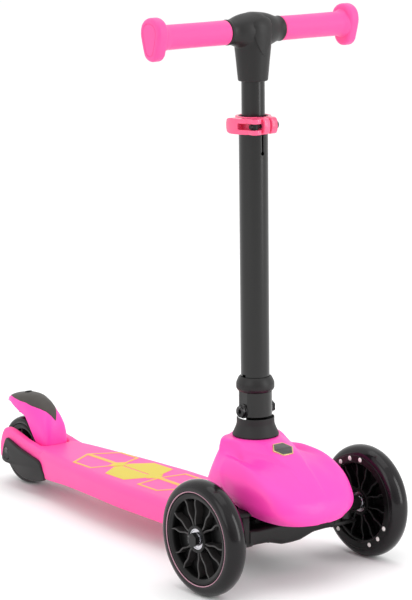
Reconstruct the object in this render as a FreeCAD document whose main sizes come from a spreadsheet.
import FreeCAD, Part
import Sketcher
import math
import os
from FreeCAD import Placement, Rotation, Vector

# A three-wheeled child's kick scooter that steers by leaning.
# Frame: +Z up, +Y towards the rear wheel, +X to the right seen from the front.
# The origin is on the floor, in the middle of the scooter's length and width. Millimetres.

DRIVING = {
    "overall_length": 578,
    "wheelbase": 475,
    "track": 216,
    "front_wheel_d": 120,
    "rear_wheel_d": 80,
    "wheel_width": 23,
    "bearing_d": 22,
    "bearing_width": 7,
    "axle_d": 8,
    "running_gap": 0.05,
    "wall": 3,
    "deck_top": 57,
    "deck_depth": 25,
    "deck_half_width": 52,
    "cover_half_width": 60,
    "cover_top": 139,
    "cover_nose": 60,
    "stem_offset": 50,
    "lean_height": 96,
    "tie_rod_height": 56,
    "kingpin_half_track": 78,
    "fold_height": 167,
    "lower_tube_d": 30,
    "upper_tube_d": 24,
    "tube_wall": 1.5,
    "knuckle_d": 34.8,
    "ring_d": 40,
    "ring_base": 187,
    "clamp_height": 465.5,
    "clamp_width": 17,
    "clamp_d": 37,
    "bar_height": 560,
    "bar_width": 260,
    "grip_d": 25,
    "bar_d": 19,
}

doc = FreeCAD.newDocument("kick_scooter")
sheet = doc.addObject("Spreadsheet::Sheet", "sizes")
for row, (alias, number) in enumerate(DRIVING.items(), start=1):
    sheet.set(f"A{row}", alias)
    sheet.set(f"B{row}", str(number))
    sheet.setAlias(f"B{row}", alias)
doc.recompute()


class Dim:
    """A length that knows its number and the spreadsheet formula behind it."""

    def __init__(self, number, formula):
        self.number = float(number)
        self.formula = formula

    def __add__(self, other):
        return Dim(self.number + number_of(other), f"({self.formula} + {formula_of(other)})")

    def __sub__(self, other):
        return Dim(self.number - number_of(other), f"({self.formula} - {formula_of(other)})")

    def __mul__(self, other):
        return Dim(self.number * number_of(other), f"({self.formula} * {formula_of(other)})")

    def __truediv__(self, other):
        return Dim(self.number / number_of(other), f"({self.formula} / {formula_of(other)})")

    def __radd__(self, other):
        return self + other

    def __rsub__(self, other):
        return -self + other

    def __rmul__(self, other):
        return self * other

    def __neg__(self):
        return Dim(-self.number, f"(0 - {self.formula})")


def number_of(value):
    return value.number if isinstance(value, Dim) else float(value)


def formula_of(value):
    return value.formula if isinstance(value, Dim) else f"{float(value):.6f}"


def size(alias):
    return Dim(sheet.get(alias), f"sizes.{alias}")


def bind(obj, path, value):
    """Sets one property and ties it to the spreadsheet."""
    setattr(obj, path, number_of(value))
    if isinstance(value, Dim):
        obj.setExpression(path, value.formula)


def put(obj, x=0, y=0, z=0, rotation=None):
    """Places an object, with each coordinate tied to the spreadsheet."""
    spot = Vector(number_of(x), number_of(y), number_of(z))
    obj.Placement = Placement(spot, rotation or Rotation())
    for axis, value in (("x", x), ("y", y), ("z", z)):
        if isinstance(value, Dim):
            obj.setExpression(f"Placement.Base.{axis}", value.formula)
    return obj


UP = Rotation()
ALONG_X = Rotation(Vector(0, 1, 0), 90)
ALONG_MINUS_X = Rotation(Vector(0, 1, 0), -90)
ALONG_Y = Rotation(Vector(1, 0, 0), -90)
ALONG_MINUS_Y = Rotation(Vector(1, 0, 0), 90)
RUNNING_GAP = size("running_gap")
SIDES = (("left", -1), ("right", 1))

nodes = {}


def node(obj, label):
    """Names a finished sub-part; its label is also its file's name."""
    obj.Label = label
    nodes[label] = obj
    return obj


def cylinder(radius, length, x=0, y=0, z=0, rotation=UP):
    obj = doc.addObject("Part::Cylinder", "cylinder")
    bind(obj, "Radius", radius)
    bind(obj, "Height", length)
    return put(obj, x, y, z, rotation)


def cone(radius_low, radius_high, length, x=0, y=0, z=0, rotation=UP):
    obj = doc.addObject("Part::Cone", "cone")
    bind(obj, "Radius1", radius_low)
    bind(obj, "Radius2", radius_high)
    bind(obj, "Height", length)
    return put(obj, x, y, z, rotation)


def ring(outer, inner, length, x=0, y=0, z=0, rotation=UP):
    """A tube: one cylinder cut out of another of the same length."""
    return cut(cylinder(outer, length, x, y, z, rotation), cylinder(inner, length, x, y, z, rotation))


def block(length_x, length_y, length_z, x=0, y=0, z=0):
    """A box centred on x and y, standing on z."""
    obj = doc.addObject("Part::Box", "block")
    bind(obj, "Length", length_x)
    bind(obj, "Width", length_y)
    bind(obj, "Height", length_z)
    return put(obj, x - length_x / 2, y - length_y / 2, z)


def sphere(radius, x=0, y=0, z=0):
    obj = doc.addObject("Part::Sphere", "sphere")
    bind(obj, "Radius", radius)
    return put(obj, x, y, z)


def cut(base, *tools):
    """Takes each tool out of the base in turn."""
    for tool in tools:
        result = doc.addObject("Part::Cut", "cut")
        result.Base = base
        result.Tool = tool
        base = result
    return base


def fuse(*shapes):
    result = doc.addObject("Part::MultiFuse", "fuse")
    result.Shapes = list(shapes)
    result.Refine = True
    return result


def common(base, tool):
    result = doc.addObject("Part::Common", "common")
    result.Base = base
    result.Tool = tool
    return result


def group(*shapes):
    """Separate solids that share one node."""
    result = doc.addObject("Part::Compound", "group")
    result.Links = list(shapes)
    return result


def sketch_on(body, role, offset=0):
    """A sketch on one of the body's own origin planes, moved along the plane's normal."""
    plane = next(item for item in body.Origin.OriginFeatures if item.Role == role)
    sketch = body.newObject("Sketcher::SketchObject", "sketch")
    sketch.AttachmentSupport = [(plane, "")]
    sketch.MapMode = "FlatFace"
    sketch.AttachmentOffset = Placement(Vector(0, 0, number_of(offset)), Rotation())
    if isinstance(offset, Dim):
        sketch.setExpression("AttachmentOffset.Base.z", offset.formula)
    return sketch


def pin_point(sketch, geometry, end, value, kind, axis):
    """Ties one coordinate of a sketch point to the spreadsheet."""
    if abs(number_of(value)) < 1e-9:
        sketch.addConstraint(Sketcher.Constraint("PointOnObject", geometry, end, axis))
        return
    index = sketch.addConstraint(Sketcher.Constraint(kind, -1, 1, geometry, end, number_of(value)))
    if isinstance(value, Dim):
        sketch.setExpression(f"Constraints[{index}]", value.formula)


def outline(sketch, points):
    """Draws a closed outline of straight edges, each corner tied to the spreadsheet."""
    corners = [Vector(number_of(u), number_of(v), 0) for u, v in points]
    count = len(corners)
    for i in range(count):
        sketch.addGeometry(Part.LineSegment(corners[i], corners[(i + 1) % count]))
    for i in range(count):
        sketch.addConstraint(Sketcher.Constraint("Coincident", i, 2, (i + 1) % count, 1))
    for i, (u, v) in enumerate(points):
        pin_point(sketch, i, 1, u, "DistanceX", -2)
        pin_point(sketch, i, 1, v, "DistanceY", -1)


def mirrored(points):
    """A closed outline from its right half: the points, then their mirror images backwards."""
    return points + [(-u, v) for u, v in reversed(points)]


def pad(points, role, length, offset=0, midplane=False, name="pad"):
    """A body with one outline padded along its plane's normal."""
    body = doc.addObject("PartDesign::Body", name)
    sketch = sketch_on(body, role, offset)
    outline(sketch, points)
    feature = body.newObject("PartDesign::Pad", "thickness")
    feature.Profile = sketch
    bind(feature, "Length", length)
    feature.Midplane = midplane
    doc.recompute()
    return body


def turned(points, name="turned"):
    """A body turned about Z from a half profile of (radius, height) points."""
    body = doc.addObject("PartDesign::Body", name)
    sketch = sketch_on(body, "XZ_Plane")
    outline(sketch, points)
    feature = body.newObject("PartDesign::Revolution", "revolution")
    feature.Profile = sketch
    feature.ReferenceAxis = (sketch, ["V_Axis"])
    feature.Angle = 360
    doc.recompute()
    return body


# Places that several sub-parts share.
FRONT_Y = -(size("overall_length") / 2 - size("front_wheel_d") / 2)
STEM_Y = FRONT_Y + size("stem_offset")
REAR_Y = FRONT_Y + size("wheelbase")
FRONT_AXLE_Z = size("front_wheel_d") / 2
REAR_AXLE_Z = size("rear_wheel_d") / 2
LEAN_Z = size("lean_height")
TIE_Z = size("tie_rod_height")
LEVER = LEAN_Z - TIE_Z
TIE_Y = FRONT_Y + LEVER
KINGPIN_X = size("kingpin_half_track")
FOLD_Z = size("fold_height")
DECK_TOP = size("deck_top")
DECK_BOTTOM = DECK_TOP - size("deck_depth")
COVER_TOP = size("cover_top")
BOOT_TOP = COVER_TOP + 17
WALL = size("wall")
TUBE_R = size("lower_tube_d") / 2
TUBE_BORE_R = TUBE_R - size("tube_wall")
UPPER_R = size("upper_tube_d") / 2
KNUCKLE_R = size("knuckle_d") / 2
BAR_Z = size("bar_height")
CLAMP_Z = size("clamp_height") - size("clamp_width") / 2
AXLE_R = size("axle_d") / 2 - RUNNING_GAP
PIN_R = 4.0
SCREW_R = 2.0
HEX_HALF = 6.5
HINGE_HEAD_R = 8.5
RIM_SHARE = 0.78
TAIL_HALF = 31.0
BRAKE_Y = REAR_Y - 52
PANEL_RISE = 0.4
BRAKE_Z = DECK_TOP - 3
POCKET_LOW = DECK_TOP - 13
BRAKE_PIN_R = 2.5
LEVER_HALF = 7.0
SEAT_X = 37.0
SPRING_Z = TIE_Z + 18
TONGUE_WIDTH = 70
TONGUE_TOP = DECK_TOP - 19
FLOOR_TOP = TONGUE_TOP + 6
TONGUE_END = FRONT_Y + 138
SCREW_SPOTS = [(x, FRONT_Y + 118) for x in (-22, 22)]


# ---------------------------------------------------------------- deck

def deck_plan(inset):
    """Half the deck's plan from front to tail, mirrored into a closed outline."""
    half = size("deck_half_width")
    right = [
        (half - 22 - inset, FRONT_Y + 92 + inset),
        (half - inset, FRONT_Y + 132 + inset),
        (half - inset, FRONT_Y + 230),
        (half - 14 - inset, FRONT_Y + 380),
        (half - 16 - inset, FRONT_Y + 393),
        (TAIL_HALF - inset, FRONT_Y + 399),
        (TAIL_HALF - inset, REAR_Y - 20 - inset),
    ]
    return mirrored(right)


def make_deck():
    slot_half = size("wheel_width") / 2 + 6.5
    board = pad(deck_plan(0), "XY_Plane", size("deck_depth"), DECK_BOTTOM, name="deck_plate")
    hollow = pad(deck_plan(WALL * 2), "XY_Plane", size("deck_depth") - WALL, DECK_BOTTOM, name="hollow")
    tail_wall = block(90, 87, size("deck_depth"), 0, REAR_Y - 36.5, DECK_BOTTOM)
    shell = cut(board, cut(hollow, tail_wall))
    rib_width = size("deck_half_width") * 2 - 30
    rib_height = size("deck_depth") - 1
    rib_low = DECK_BOTTOM + 1
    ribs = [block(rib_width, WALL, rib_height, 0, FRONT_Y + spot, rib_low) for spot in range(160, 400, 40)]
    spine = block(4, 240, rib_height, 0, FRONT_Y + 260, rib_low)
    wheel_slot = block(slot_half * 2, 110, 90, 0, REAR_Y + 11, 0)
    arms = pad([(REAR_Y - 66, DECK_BOTTOM + 2), (REAR_Y - 66, DECK_TOP - 1), (REAR_Y - 8, DECK_TOP + 13),
                (REAR_Y + 12, DECK_TOP + 9), (REAR_Y + 19, REAR_AXLE_Z), (REAR_Y + 6, DECK_BOTTOM - 5)],
               "YZ_Plane", TAIL_HALF * 2, midplane=True, name="tail_arms")
    axle_hole = cylinder(AXLE_R + RUNNING_GAP, 120, -60, REAR_Y, REAR_AXLE_Z, ALONG_X)
    tail = cut(arms, wheel_slot)
    brake_pocket = block(slot_half * 2, 26, 60, 0, BRAKE_Y + 4, POCKET_LOW)
    lugs = [cut(block(4, 10, 15, sign * 8, BRAKE_Y, POCKET_LOW),
                cylinder(BRAKE_PIN_R, 40, -20, BRAKE_Y, BRAKE_Z, ALONG_X)) for _, sign in SIDES]
    tongue_room = block(TONGUE_WIDTH, 70, 10, 0, TONGUE_END - 35, TONGUE_TOP - 10)
    bosses = [cylinder(5, DECK_TOP - 1 - TONGUE_TOP, x, y, TONGUE_TOP) for x, y in SCREW_SPOTS]
    screw_bores = [cylinder(SCREW_R, 12, x, y, TONGUE_TOP - 1) for x, y in SCREW_SPOTS]
    standing_panel = block(60, 230, 1 + PANEL_RISE, 0, FRONT_Y + 265, DECK_TOP - 1)
    whole = fuse(cut(shell, tongue_room), standing_panel, spine, *ribs, *bosses, tail)
    emptied = cut(whole, axle_hole, wheel_slot, brake_pocket, *screw_bores)
    node(fuse(emptied, *lugs), "deck_board")


def make_side_covers():
    """Black plastic guards on the outside of the tail arms."""
    corners = [(-84, -14), (-76, 2), (-60, 6), (-32, 11), (4, 19), (12, 1), (8, -12), (-12, -12), (-28, -20),
               (-66, -20)]
    profile = [(REAR_Y + y, REAR_AXLE_Z + z) for y, z in corners]
    thickness = 5
    for side, sign in SIDES:
        inner = TAIL_HALF if sign > 0 else -TAIL_HALF - thickness
        guard = pad(profile, "YZ_Plane", thickness, inner, name="guard")
        recess = cylinder(8, thickness * 4, inner - thickness, REAR_Y, REAR_AXLE_Z, ALONG_X)
        board_room = pad(deck_plan(0), "XY_Plane", size("deck_depth") + 2, DECK_BOTTOM - 1, name="board_room")
        node(cut(guard, recess, board_room), f"side_cover_{side}")


def make_rear_axle():
    shank, head = TAIL_HALF, 3
    bolt = fuse(cylinder(AXLE_R, shank * 2 + 3, -shank, REAR_Y, REAR_AXLE_Z, ALONG_X),
                hex_prism(HEX_HALF, head, -shank - head, REAR_Y, REAR_AXLE_Z))
    node(bolt, "rear_axle_bolt")
    nut = cut(hex_prism(HEX_HALF, head, shank, REAR_Y, REAR_AXLE_Z),
              cylinder(AXLE_R, 20, shank - 2, REAR_Y, REAR_AXLE_Z, ALONG_X))
    node(nut, "rear_axle_nut")


def hex_prism(across, length, x, y, z):
    """A hexagon bar along +X that starts at x; across is half its width over the flats."""
    prism = doc.addObject("Part::Prism", "hexagon")
    prism.Polygon = 6
    bind(prism, "Circumradius", across / math.cos(math.radians(30)))
    bind(prism, "Height", length)
    return put(prism, x, y, z, ALONG_X)


# ---------------------------------------------------------------- front truck

def make_truck():
    """The beam that carries the kingpins, the lean pivot and the deck's front end."""
    jaw_gap_low, jaw_gap_high = FRONT_AXLE_Z - 14, FRONT_AXLE_Z + 14
    reach = KINGPIN_X + 10
    beam_half, beam_top, belly = 56.5, FRONT_AXLE_Z, FRONT_AXLE_Z - 24.5
    jaw_low = jaw_gap_low - 4
    depth, plate = 20, 8
    half_beam = [(reach, jaw_gap_low), (reach, jaw_low), (52, jaw_low), (30, jaw_low - 1), (12, belly)]
    ledge = [(beam_half, beam_top), (beam_half, jaw_gap_low)]
    right = ledge + half_beam
    beam = pad(mirrored(right), "XZ_Plane", depth, -FRONT_Y, midplane=True, name="beam")
    top = block(reach * 2, depth, 6, 0, FRONT_Y, jaw_gap_high)
    posts = [block(10, depth, 28.5, sign * 61, FRONT_Y, jaw_gap_low - 0.25) for _, sign in SIDES]
    floor_half = SEAT_X + 3
    floor_right = [(20, FRONT_Y + 5), (floor_half, FRONT_Y + 34), (floor_half, FRONT_Y + 65)]
    floor = pad(mirrored(floor_right), "XY_Plane", plate, FLOOR_TOP - plate, name="floor")
    tongue = block(TONGUE_WIDTH, 95, plate, 0, TONGUE_END - 47.5, TONGUE_TOP - plate)
    wall_low = FLOOR_TOP - 7.5
    wall_height = LEAN_Z + 10 - wall_low
    bearing_walls = [block(34, plate, wall_height, 0, STEM_Y + offset, wall_low) for offset in (-23, 23)]
    pivot_bore = cylinder(PIN_R, 80, 0, STEM_Y - 40, LEAN_Z, ALONG_Y)
    pin_bores = [cylinder(PIN_R, 70, KINGPIN_X * sign, FRONT_Y, 30) for _, sign in SIDES]
    screw_holes = [cylinder(SCREW_R, 30, x, y, TONGUE_TOP - 15) for x, y in SCREW_SPOTS]
    whole = fuse(beam, top, floor, tongue, *posts, *bearing_walls)
    node(cut(whole, pivot_bore, *pin_bores, *screw_holes), "truck_beam")
    screws = [fuse(cylinder(SCREW_R, 16, x, y, TONGUE_TOP - 8), cylinder(4, 2, x, y, TONGUE_TOP - 10))
              for x, y in SCREW_SPOTS]
    node(group(*screws), "deck_screws")
    pins = [fuse(cylinder(PIN_R, 44, KINGPIN_X * sign, FRONT_Y, jaw_low - 0.5),
                 cylinder(6, 2.5, KINGPIN_X * sign, FRONT_Y, jaw_gap_high + 6)) for _, sign in SIDES]
    node(group(*pins), "kingpins")
    shaft = fuse(cylinder(PIN_R, 54, 0, STEM_Y - 27, LEAN_Z, ALONG_Y),
                 cylinder(6.5, 3, 0, STEM_Y - 30, LEAN_Z, ALONG_Y))
    node(shaft, "lean_pivot_shaft")
    gap = SEAT_X - 2.5 - LEVER_HALF
    springs = [coil(4.2, 1.0, gap, 7, LEVER_HALF, STEM_Y, SPRING_Z, ALONG_X),
               coil(4.2, 1.0, gap, 7, -LEVER_HALF, STEM_Y, SPRING_Z, ALONG_MINUS_X)]
    node(group(*springs), "centring_springs")
    seats = [cut(block(5, 16, SPRING_Z + 8 - FLOOR_TOP, sign * SEAT_X, STEM_Y, FLOOR_TOP),
                 block(7, 12, 14, sign * SEAT_X, TIE_Y, TIE_Z - 7)) for _, sign in SIDES]
    node(group(*seats), "spring_seats")


def coil(radius, wire, length, turns, x, y, z, rotation):
    """A round-wire coil along the rotated Z, with its wire inside the stated length."""
    rise = number_of(length) - 2.2 * wire
    foot = Vector(0, 0, 1.1 * wire)
    helix = Part.makeHelix(rise / turns, rise, radius)
    helix.translate(foot)
    start = Part.Wire(Part.makeCircle(wire, Vector(radius, 0, 0) + foot, Vector(0, 1, 0.2)))
    obj = doc.addObject("Part::Feature", "coil")
    obj.Shape = Part.Wire(helix.Edges).makePipeShell([start], True, True)
    return put(obj, x, y, z, rotation)


def cover_hull(inset):
    """The front cover's outside, or its inside when inset by the wall."""
    nose = size("cover_nose")
    top = COVER_TOP - inset
    base = DECK_TOP - 2 - inset * 2
    tip = FRONT_Y - nose + inset
    profile = [(tip, base), (tip, 78), (tip + 8, 98 - inset), (tip + 28, 115 - inset),
               (FRONT_Y + 8 + inset, top - 2), (FRONT_Y + 24, top), (FRONT_Y + 80 - inset, top),
               (FRONT_Y + 96 - inset, top - 18), (FRONT_Y + 112 - inset, 90), (FRONT_Y + 121 - inset, base)]
    half = size("cover_half_width") - inset
    body = pad(profile, "YZ_Plane", half * 2, midplane=True, name="hull")
    plan = [(half - 18, FRONT_Y - nose), (half, FRONT_Y - nose + 18), (half, FRONT_Y + 52),
            (half - 22, FRONT_Y + 88), (half - 46, FRONT_Y + 124)]
    narrowed = common(body, pad(mirrored(plan), "XY_Plane", 160, 0, name="plan"))
    front = [(half, 50), (half, 96), (half - 8, 118), (half - 26, 131 - inset), (18, top + 1)]
    return common(narrowed, pad(mirrored(front), "XZ_Plane", 300, -FRONT_Y, midplane=True, name="front_view"))


def make_front_cover():
    shell = cut(cover_hull(0), cover_hull(WALL))
    arch = cylinder(38, 160, -80, FRONT_Y + 12, 64, ALONG_X)
    neck_slot = block(44, 32, 40, 0, STEM_Y, COVER_TOP - 20)
    under_nose = block(160, 180, 60, 0, FRONT_Y + 12, 6)
    deck_room = block(size("deck_half_width") * 2 + 30, 80, 40, 0, FRONT_Y + 130, DECK_TOP - 40)
    node(cut(shell, arch, neck_slot, under_nose, deck_room), "front_cover")
    run, rise = 40, COVER_TOP - 2 - 115
    slope = math.atan2(number_of(rise), run)
    plate = doc.addObject("Part::Prism", "plate")
    plate.Polygon = 6
    bind(plate, "Circumradius", 11.5)
    bind(plate, "Height", 1.5)
    tilt = Rotation(Vector(1, 0, 0), math.degrees(slope))
    node(put(plate, 0, FRONT_Y - 32 + run / 2, 115 + rise / 2, tilt), "badge")


# ---------------------------------------------------------------- lean column, tie rod and knuckles

def make_column():
    """The block that leans on the pivot shaft, with the lever below and the hinge tongue above."""
    boss = cylinder(11, 36, 0, STEM_Y - 18, LEAN_Z, ALONG_Y)
    neck = cylinder(10, FOLD_Z - 19 - LEAN_Z, 0, STEM_Y, LEAN_Z)
    lever = block(LEVER_HALF * 2, 24, LEVER - 11, 0, STEM_Y - 2, TIE_Z + 11)
    finger = fuse(cylinder(3.4, 16, 0, TIE_Y, TIE_Z), sphere(5, 0, TIE_Y, TIE_Z))
    tongue = block(12, HINGE_HEAD_R * 2, 24, 0, STEM_Y, FOLD_Z - 24)
    head = cylinder(HINGE_HEAD_R, 12, -6, STEM_Y, FOLD_Z, ALONG_X)
    notch = block(12, 5, 4, 0, STEM_Y, FOLD_Z + HINGE_HEAD_R - 2.5)
    pivot_bore = cylinder(PIN_R + RUNNING_GAP, 60, 0, STEM_Y - 30, LEAN_Z, ALONG_Y)
    fold_bore = cylinder(PIN_R + RUNNING_GAP, 40, -20, STEM_Y, FOLD_Z, ALONG_X)
    whole = fuse(boss, neck, lever, finger, tongue, head)
    node(cut(whole, notch, pivot_bore, fold_bore), "lean_column")
    low = COVER_TOP + 1.5
    skirt = turned([(16.5, low), (24.5, low), (24.5, low + 1.2), (21, low + 7.5), (19.8, low + 13),
                    (19.8, BOOT_TOP), (17.9, BOOT_TOP), (17.9, BOOT_TOP - 4)], name="skirt")
    seat = ring(18.5, 12, 4.5, 0, 0, low + 0.5)
    boot = put(fuse(skirt, seat), 0, STEM_Y, 0)
    groove = cylinder(KNUCKLE_R + 0.5, 40, 0, STEM_Y, FOLD_Z, ALONG_Y)
    node(cut(boot, groove), "column_boot")


def make_steering():
    rod = block((KINGPIN_X - 1) * 2, 9, 7, 0, TIE_Y, TIE_Z - 3.5)
    eye = block(22, 13, 10, 0, TIE_Y, TIE_Z - 5)
    finger_hole = cylinder(5.4, 30, 0, TIE_Y, TIE_Z - 15)
    ends = [cylinder(5, 7, KINGPIN_X * sign, TIE_Y, TIE_Z - 3.5) for _, sign in SIDES]
    pins = [cylinder(3, 18, KINGPIN_X * sign, TIE_Y, TIE_Z - 14) for _, sign in SIDES]
    node(cut(fuse(rod, eye, *ends, *pins), finger_hole), "tie_rod")
    for side, sign in SIDES:
        centre = KINGPIN_X * sign
        barrel = cylinder(8, 27, centre, FRONT_Y, FRONT_AXLE_Z - 13.5)
        stub_length = size("track") / 2 - size("wheel_width") / 2 - 1 - KINGPIN_X
        turn = ALONG_X if sign > 0 else ALONG_MINUS_X
        stub = cylinder(8, stub_length, centre, FRONT_Y, FRONT_AXLE_Z, turn)
        arm = block(10, LEVER + 5, 5, centre, FRONT_Y + (LEVER + 5) / 2, TIE_Z - 9)
        tip_slot = block(7.2, 9, 12, centre, TIE_Y, TIE_Z - 14)
        wide_tip = block(14, 16, 5, centre, TIE_Y, TIE_Z - 9)
        bore = cylinder(PIN_R + RUNNING_GAP, 60, centre, FRONT_Y, 30)
        thread = cylinder(AXLE_R, stub_length - 8, centre + sign * 8, FRONT_Y, FRONT_AXLE_Z, turn)
        node(cut(fuse(barrel, stub, arm, wide_tip), bore, tip_slot, thread), f"steering_knuckle_{side}")
        inner = centre + sign * 8
        length = size("track") / 2 + size("wheel_width") / 2 - 1 - KINGPIN_X - 8
        head_x = centre + (length + 8) * sign if sign > 0 else centre - (length + 8) - 5
        bolt = fuse(cylinder(AXLE_R, length, inner, FRONT_Y, FRONT_AXLE_Z, turn),
                    hex_prism(HEX_HALF, 5, head_x, FRONT_Y, FRONT_AXLE_Z))
        node(bolt, f"front_axle_bolt_{side}")


# ---------------------------------------------------------------- wheels

def wheel(prefix, diameter, hub_x, y, z, spokes):
    """Tyre, spoked core, light ring (front wheels only) and two ball bearings."""
    half = size("wheel_width") / 2
    radius = size(diameter) / 2
    rim = radius * RIM_SHARE
    tyre = turned([(rim, -half + 1.5), (rim + 2, -half), (radius - 7, -half + 1), (radius - 2.2, -half + 5.5),
                   (radius, -2), (radius, 2), (radius - 2.2, half - 5.5), (radius - 7, half - 1),
                   (rim + 2, half), (rim, half - 1.5)], name="tyre")
    node(put(tyre, hub_x, y, z, ALONG_X), f"{prefix}_tyre")
    rim_wall = 4
    bearing_r = size("bearing_d") / 2
    bearing_w = size("bearing_width")
    hub = turned([(bearing_r, -half + 1.5), (bearing_r + 3, -half + 1.5), (bearing_r + 3, half - 1.5),
                  (bearing_r, half - 1.5)], name="hub")
    stop = ring(bearing_r + 1, bearing_r - 2, half * 2 - 4 - bearing_w * 2, 0, 0, -half + 2 + bearing_w)
    felloe = ring(rim, rim - rim_wall, half * 2 - 3, 0, 0, -half + 1.5)
    web = spoked_web(bearing_r + 2, rim - rim_wall + 1, spokes)
    core = fuse(hub, stop, felloe, web)
    node(put(core, hub_x, y, z, ALONG_X), f"{prefix}_core")
    races = [ring(bearing_r, size("axle_d") / 2, bearing_w, 0, 0, spot)
             for spot in (-half + 2, half - 2 - bearing_w)]
    node(put(group(*races), hub_x, y, z, ALONG_X), f"{prefix}_bearings")


def spoked_web(inner, outer, count):
    """Flat spokes between hub and rim, one body per spoke turned about the hub."""
    spokes = []
    for i in range(count):
        spoke = doc.addObject("Part::Box", "spoke")
        bind(spoke, "Length", outer - inner)
        spoke.Width = 5
        spoke.Height = 14
        turn = Rotation(Vector(0, 0, 1), 360 / count * i)
        spoke.Placement = Placement(turn.multVec(Vector(number_of(inner), -2.5, -7)), turn)
        spokes.append(spoke)
    return fuse(*spokes)


def make_wheels():
    for side, sign in SIDES:
        hub_x = size("track") / 2 * sign
        wheel(f"front_{side}", "front_wheel_d", hub_x, FRONT_Y, FRONT_AXLE_Z, 6)
        rim = size("front_wheel_d") / 2 * RIM_SHARE
        lamp = ring(rim - 4, rim - 7, 3, 0, 0, size("wheel_width") / 2 - 5)
        facing = ALONG_MINUS_X if sign > 0 else ALONG_X
        light_ring = cut(lamp, spoked_web(10, 60, 6))
        node(put(light_ring, hub_x, FRONT_Y, FRONT_AXLE_Z, facing), f"front_{side}_light_ring")
        magnet_width = size("wheel_width") - size("bearing_width") * 2 - 4.4
        magnet = ring(6, AXLE_R, magnet_width, 0, 0, -magnet_width / 2)
        node(put(magnet, hub_x, FRONT_Y, FRONT_AXLE_Z, ALONG_X), f"front_{side}_magnet_spacer")
    wheel("rear", "rear_wheel_d", 0, REAR_Y, REAR_AXLE_Z, 5)


# ---------------------------------------------------------------- rear brake

def make_brake():
    """A foot-operated fender that hinges on the deck and presses on the rear tyre."""
    hinge_y, hinge_z = BRAKE_Y, BRAKE_Z
    corners = [(-6, -4), (-6, 22), (0, 34), (7, 43), (17, 50), (32, 55), (57, 54), (77, 48.5), (95, 40), (95, 36),
               (68, 32), (42, 33), (29, 24), (18, 8), (10, -4)]
    profile = [(hinge_y + y, hinge_z + z) for y, z in corners]
    fin = pad(profile, "YZ_Plane", 34, midplane=True, name="fin")
    wheel_room = cylinder(size("rear_wheel_d") / 2 + 7, 60, -30, REAR_Y, REAR_AXLE_Z, ALONG_X)
    bore = cylinder(BRAKE_PIN_R + RUNNING_GAP, 33, -16.5, hinge_y, hinge_z, ALONG_X)
    screw_y, screw_low = hinge_y + 50, hinge_z + 43
    screw_bore = cylinder(1.95, 20, 0, screw_y, screw_low)
    seat_line = [(9, 42), (22, 49), (62, 48.5), (84, 41.5), (84, 66), (9, 66)]
    seat_outline = [(hinge_y + y, hinge_z + z) for y, z in seat_line]
    pad_seat = pad(seat_outline, "YZ_Plane", 26, midplane=True, name="pad_seat")
    lug_room = block(21, 26, 18.5, 0, hinge_y, hinge_z - 12)
    node(cut(fin, wheel_room, bore, pad_seat, lug_room, screw_bore), "brake_fender")
    insert_line = [(9.3, 42.3), (22, 49), (62, 48.5), (83.7, 41.7), (83.7, 45.3), (62, 53.4), (32, 56), (17, 51)]
    insert_outline = [(hinge_y + y, hinge_z + z) for y, z in insert_line]
    insert = pad(insert_outline, "YZ_Plane", 25.4, midplane=True, name="insert")
    screw_hole = cylinder(2, 20, 0, screw_y, screw_low - 2)
    node(cut(insert, screw_hole), "brake_foot_pad")
    screw = fuse(cylinder(1.95, 12.5, 0, screw_y, screw_low), cylinder(3.4, 1.5, 0, screw_y, screw_low + 12))
    node(screw, "foot_pad_screw")
    shoe_r, shoe_gap = size("rear_wheel_d") / 2 + 7, 4.5
    shoe = cut(cylinder(shoe_r, 18, -9, REAR_Y, REAR_AXLE_Z, ALONG_X),
               cylinder(shoe_r - 7 + shoe_gap, 30, -15, REAR_Y, REAR_AXLE_Z, ALONG_X))
    window = block(30, 34, 26, 0, REAR_Y + 8 - 17, REAR_AXLE_Z + 31)
    node(common(shoe, window), "brake_shoe")
    node(cylinder(BRAKE_PIN_R, 32, -16, hinge_y, hinge_z, ALONG_X), "brake_hinge_pin")
    node(coil(3.6, 0.6, 12, 6, -6, hinge_y, hinge_z, ALONG_X), "brake_spring")


# ---------------------------------------------------------------- folding stem

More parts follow.
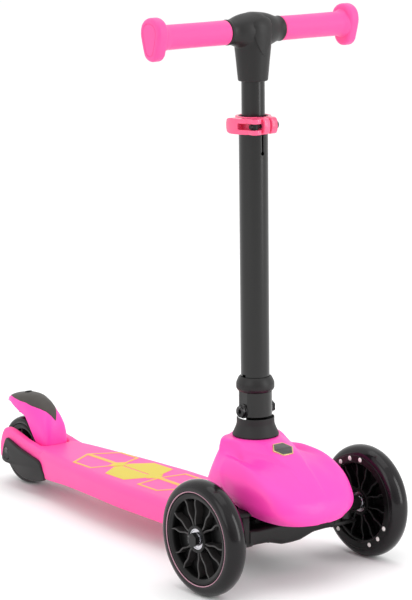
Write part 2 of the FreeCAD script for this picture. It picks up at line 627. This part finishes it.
def make_stem():
    top = size("ring_base")
    tube_low = top - 8
    body = cylinder(KNUCKLE_R, top - FOLD_Z + 5.5, 0, STEM_Y, FOLD_Z - 5.5)
    flats = [block(4, 40, 60, sign * (KNUCKLE_R - 1.2 + 2), STEM_Y, FOLD_Z - 10) for _, sign in SIDES]
    slot = block(13, 40, HINGE_HEAD_R + 6.7, 0, STEM_Y + 9.4, FOLD_Z - 6)
    socket = cylinder(TUBE_R, 10, 0, STEM_Y, tube_low)
    guide = cylinder(8, 20, 0, STEM_Y, FOLD_Z + HINGE_HEAD_R - 1)
    bore = cylinder(PIN_R, 60, -30, STEM_Y, FOLD_Z, ALONG_X)
    node(cut(body, *flats, slot, socket, guide, bore), "fold_knuckle")
    seat_x = KNUCKLE_R - 1.2
    bolt = fuse(cylinder(PIN_R, seat_x * 2 + 7, -seat_x - 1.4, STEM_Y, FOLD_Z, ALONG_X),
                cylinder(6, 3.4, -seat_x - 4.8, STEM_Y, FOLD_Z, ALONG_X))
    socket_hex = hex_prism(2.5, 2.2, -seat_x - 4.9, STEM_Y, FOLD_Z)
    node(cut(bolt, socket_hex), "fold_bolt")
    washers = [ring(7.5, PIN_R, 1.4, x, STEM_Y, FOLD_Z, ALONG_X) for x in (-seat_x - 1.4, seat_x)]
    node(group(*washers), "fold_washers")
    nut = cut(hex_prism(6, 4, seat_x + 1.4, STEM_Y, FOLD_Z), cylinder(PIN_R, 20, 5, STEM_Y, FOLD_Z, ALONG_X))
    node(nut, "fold_nut")

    tube = ring(TUBE_R, TUBE_BORE_R, CLAMP_Z + size("clamp_width") - 1 - tube_low, 0, STEM_Y, tube_low)
    pin_slots = block(60, 5, 13.4, 0, STEM_Y, top + 5)
    clamp_slit = block(2, 20, 50, 0, STEM_Y - 16, CLAMP_Z - 21)
    slit_end = cylinder(2, 20, 0, STEM_Y - 6, CLAMP_Z - 21, ALONG_MINUS_Y)
    node(cut(tube, pin_slots, clamp_slit, slit_end), "lower_tube")

    low = CLAMP_Z
    wide = size("clamp_width")
    band = ring(size("clamp_d") / 2, TUBE_R, wide, 0, STEM_Y, low)
    ears = block(17.2, 14, wide, 0, STEM_Y - 22, low)
    tube_room = cylinder(TUBE_R, wide * 2, 0, STEM_Y, low - 5)
    slit = block(2, 40, wide * 2, 0, STEM_Y - 20, low - 5)
    bolt_y, bolt_z = STEM_Y - 22, low + wide / 2
    hole = cylinder(2.5 + RUNNING_GAP, 60, -30, bolt_y, bolt_z, ALONG_X)
    node(cut(fuse(band, ears), tube_room, slit, hole), "clamp_band")
    barrel_x = -16
    shank = cylinder(2.5, 30.5, barrel_x - 5.5, bolt_y, bolt_z, ALONG_X)
    round_head = cut(sphere(5.6, 8.6, bolt_y, bolt_z), block(20, 20, 20, -1.4, bolt_y, bolt_z - 10))
    node(fuse(shank, round_head), "clamp_bolt")
    barrel = cylinder(4, wide - 1, barrel_x, bolt_y, low + 0.5)
    node(cut(barrel, cylinder(2.5, 60, -40, bolt_y, bolt_z, ALONG_X)), "cam_barrel")
    lever_band = cut(cylinder(29.5, wide - 1, 0, STEM_Y, low + 0.5), cylinder(20.3, 40, 0, STEM_Y, low - 5))
    wedge_plan = [(0, 0), (-16, -22), (-44, -32), (-50, 14), (-22, 6.3)]
    wedge = pad(wedge_plan, "XY_Plane", 40, low - 5, name="wedge")
    put(wedge, 0, STEM_Y, 0)
    cam = cylinder(7, wide - 1, barrel_x, bolt_y, low + 0.5)
    fork = block(38, 34, 6, barrel_x + 4.5, bolt_y, bolt_z - 3)
    barrel_bore = cylinder(4 + RUNNING_GAP, 40, barrel_x, bolt_y, low - 5)
    node(cut(fuse(common(lever_band, wedge), cam), fork, barrel_bore), "cam_lever")

    plunger_low = FOLD_Z + HINGE_HEAD_R + 0.5
    plunger = fuse(cylinder(7.9, 25, 0, STEM_Y, plunger_low), cylinder(11.5, 6, 0, STEM_Y, plunger_low + 19),
                   cylinder(2, 34, -17, STEM_Y, top + 7.5, ALONG_X))
    node(plunger, "latch_plunger")
    ring_r, ring_bore = size("ring_d") / 2, TUBE_R + 0.2
    grip_ring = turned([(ring_bore, 0), (ring_r - 2, 0), (ring_r, 3), (ring_r, 9), (ring_r - 1.5, 13),
                        (ring_r - 3.5, 15.5), (ring_bore, 15.5)], name="ring")
    put(grip_ring, 0, STEM_Y, top + 0.3)
    pin_hole = cylinder(2.05, 34.1, -17.05, STEM_Y, top + 7.5, ALONG_X)
    node(cut(grip_ring, pin_hole), "latch_ring")
    node(put(coil(8, 1, 15, 5, 0, 0, 0, UP), 0, STEM_Y, plunger_low + 25), "latch_spring")
    node(cylinder(TUBE_BORE_R, 3, 0, STEM_Y, plunger_low + 40), "latch_spring_seat")


# ---------------------------------------------------------------- handlebar

def make_handlebar():
    neck_low = BAR_Z - 51
    tube_low = FOLD_Z + 86
    node(ring(UPPER_R, UPPER_R - size("tube_wall"), BAR_Z - 22 - tube_low, 0, STEM_Y, tube_low), "upper_tube")
    bush = ring(TUBE_BORE_R - 0.1, UPPER_R, 24, 0, STEM_Y, tube_low)
    node(cut(bush, block(3, 20, 60, 0, STEM_Y - 14, tube_low - 16)), "tube_bush")
    tee_half = 35
    neck = cone(15.5, 19, 40, 0, STEM_Y, neck_low)
    dome = sphere(19, 0, STEM_Y, BAR_Z)
    barrel = cylinder(size("grip_d") / 2, tee_half * 2, -tee_half, STEM_Y, BAR_Z, ALONG_X)
    bar_bore = cylinder(size("bar_d") / 2, 120, -60, STEM_Y, BAR_Z, ALONG_X)
    tube_bore = cylinder(UPPER_R, 29, 0, STEM_Y, neck_low)
    cap_seat = block(30, 14, 60, 0, STEM_Y - 22.6, BAR_Z - 20)
    node(cut(fuse(neck, dome, barrel), bar_bore, tube_bore, cap_seat), "tee_joint")
    shield = [(0, -20), (11, -4), (13, 8), (8, 13), (-8, 13), (-13, 8), (-11, -4)]
    cap = pad(shield, "XZ_Plane", 2.6, name="cap")
    node(put(cap, 0, STEM_Y - 15.65, BAR_Z), "tee_cap")
    half = size("bar_width") / 2
    bar_r, bar_half = size("bar_d") / 2, half - 5
    node(ring(bar_r, bar_r - size("tube_wall"), bar_half * 2, -bar_half, STEM_Y, BAR_Z, ALONG_X), "bar_tube")
    for side, sign in SIDES:
        turn = ALONG_X if sign > 0 else ALONG_MINUS_X
        grip_start = tee_half + 0.3
        sleeve = cylinder(size("grip_d") / 2, half - grip_start, sign * grip_start, STEM_Y, BAR_Z, turn)
        flange = flange_body(half, sign)
        bore = cylinder(size("bar_d") / 2, half - tee_half - 5, sign * tee_half, STEM_Y, BAR_Z, turn)
        node(cut(fuse(sleeve, flange), bore), f"grip_{side}")


def flange_body(half, sign):
    """The upright teardrop flange that closes a grip's outer end."""
    thickness = 12
    start = half - thickness if sign > 0 else -half
    top_disc = cylinder(15.5, thickness, start, STEM_Y, BAR_Z + 4.5, ALONG_X)
    low_disc = cylinder(11, thickness, start, STEM_Y, BAR_Z - 12, ALONG_X)
    middle = pad([(STEM_Y - 14.8, BAR_Z), (STEM_Y + 14.8, BAR_Z), (STEM_Y + 10.5, BAR_Z - 15),
                  (STEM_Y - 10.5, BAR_Z - 15)], "YZ_Plane", thickness, start, name="flange_web")
    return fuse(top_disc, low_disc, middle)


def export():
    doc.recompute()
    broken = [obj.Label for obj in doc.Objects if {"Invalid", "Error"} & set(obj.State)]
    if broken:
        raise RuntimeError(f"failed objects: {broken}")
    for label, obj in nodes.items():
        shape = obj.Shape
        if shape.isNull() or not shape.isValid() or not shape.Solids:
            raise RuntimeError(f"{label} has no valid solid")
        print(f"{label}: {len(shape.Solids)} solid(s), {shape.Volume:.0f} mm3")
    os.makedirs("parts", exist_ok=True)
    for label, obj in nodes.items():
        obj.Shape.exportStep(f"parts/{label}.step")


make_deck()
make_side_covers()
make_rear_axle()
make_truck()
make_front_cover()
make_column()
make_steering()
make_wheels()
make_brake()
make_stem()
make_handlebar()
export()
